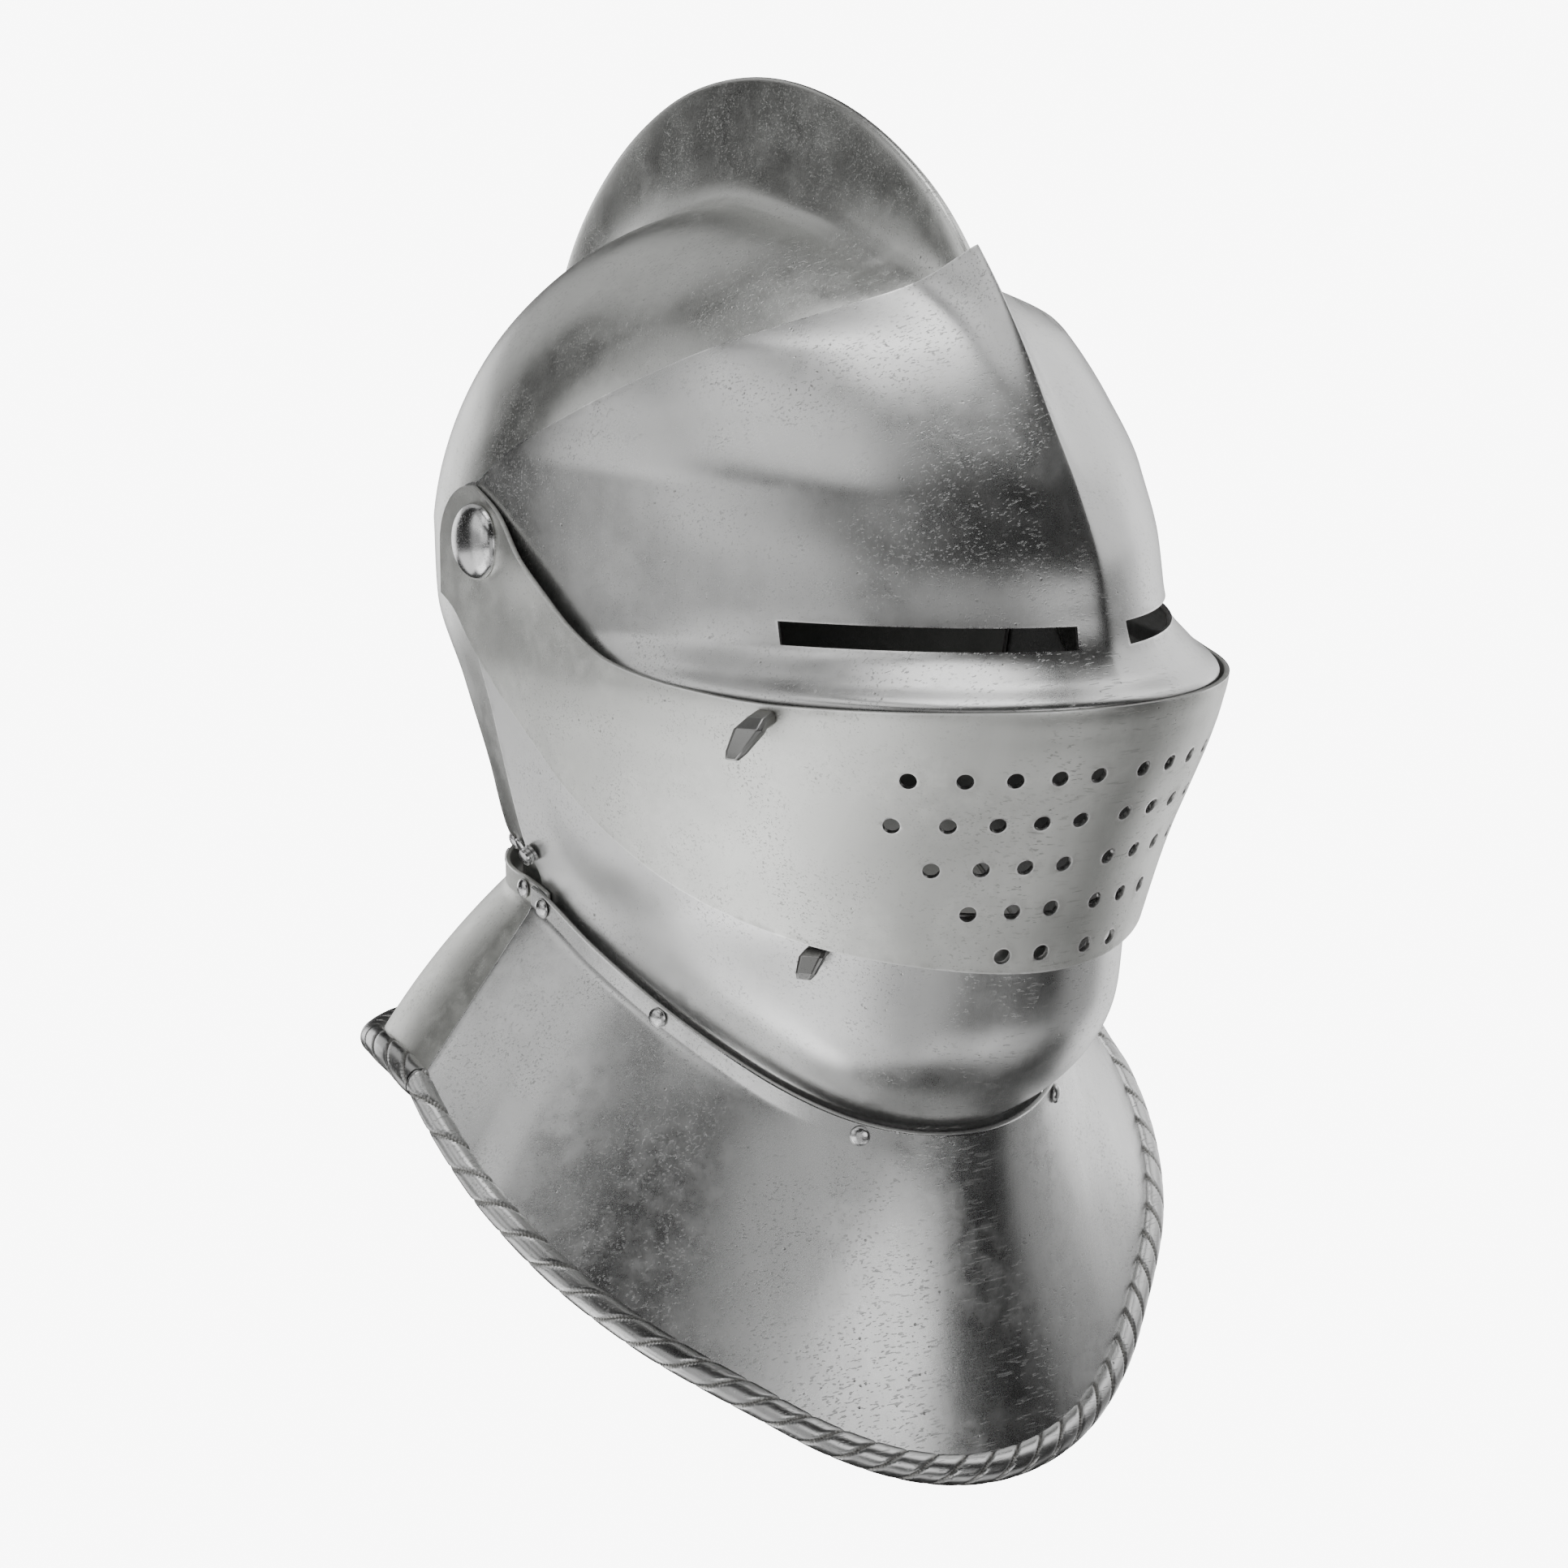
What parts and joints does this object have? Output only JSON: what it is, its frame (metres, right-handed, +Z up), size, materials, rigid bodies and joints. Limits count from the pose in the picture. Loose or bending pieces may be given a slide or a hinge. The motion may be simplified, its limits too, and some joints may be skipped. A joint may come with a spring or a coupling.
{
  "type": "close helmet",
  "caption": "Close helmet of the armet family with a tall comb, pivoted visor with sights, pierced upper bevor, lower bevor and a flared gorget with rolled edges.",
  "frame": {"origin": "on the level of the inner face of the crown, straight above the pivots, where the top of the wearer's head sits", "axes": "+Z up, the face looks along -Y, the wearer's right side is -X; the pivots' axis runs along X, 97.4 mm below the origin"},
  "size_m": [0.2716, 0.3045, 0.4158],
  "materials": {
    "warm_steel": "worn satin steel, slightly warm",
    "grey_steel": "worn satin steel, neutral grey",
    "rivet_steel": "polished steel rivets, pivots and pegs"
  },
  "bodies": {
    "skull": {"skull": "warm_steel", "gorget_rear": "warm_steel", "pivot_left": "rivet_steel", "nape_rivet_flat_left": "rivet_steel", "nape_rivet_domed_left": "rivet_steel", "rear_rivet_left_1": "rivet_steel", "rear_rivet_left_2": "rivet_steel", "rear_rivet_left_3": "rivet_steel", "pivot_right": "rivet_steel", "nape_rivet_flat_right": "rivet_steel", "nape_rivet_domed_right": "rivet_steel", "rear_rivet_right_1": "rivet_steel", "rear_rivet_right_2": "rivet_steel", "rear_rivet_right_3": "rivet_steel"},
    "lower_bevor": {"lower_bevor": "grey_steel", "gorget_front": "grey_steel", "lower_bevor_peg": "rivet_steel", "lock_stud_left": "rivet_steel", "front_rivet_left_1": "rivet_steel", "front_rivet_left_2": "rivet_steel", "front_rivet_left_3": "rivet_steel", "lock_stud_right": "rivet_steel", "front_rivet_right_1": "rivet_steel", "front_rivet_right_2": "rivet_steel", "front_rivet_right_3": "rivet_steel"},
    "upper_bevor": {"upper_bevor": "warm_steel", "upper_bevor_peg": "rivet_steel"},
    "visor": {"visor": "grey_steel"}
  },
  "joints": [
    {"name": "bevor_open", "type": "hinge", "parent": "skull", "child": "lower_bevor", "pos_m": [0, 0, -0.0974], "axis": [-1, 0, 0], "range_deg": [0, 45]},
    {"name": "upper_bevor_lift", "type": "hinge", "parent": "lower_bevor", "child": "upper_bevor", "pos_m": [0, 0, -0.0974], "axis": [-1, 0, 0], "range_deg": [0, 28]},
    {"name": "visor_lift", "type": "hinge", "parent": "upper_bevor", "child": "visor", "pos_m": [0, 0, -0.0974], "axis": [-1, 0, 0], "range_deg": [0, 35]}
  ]
}
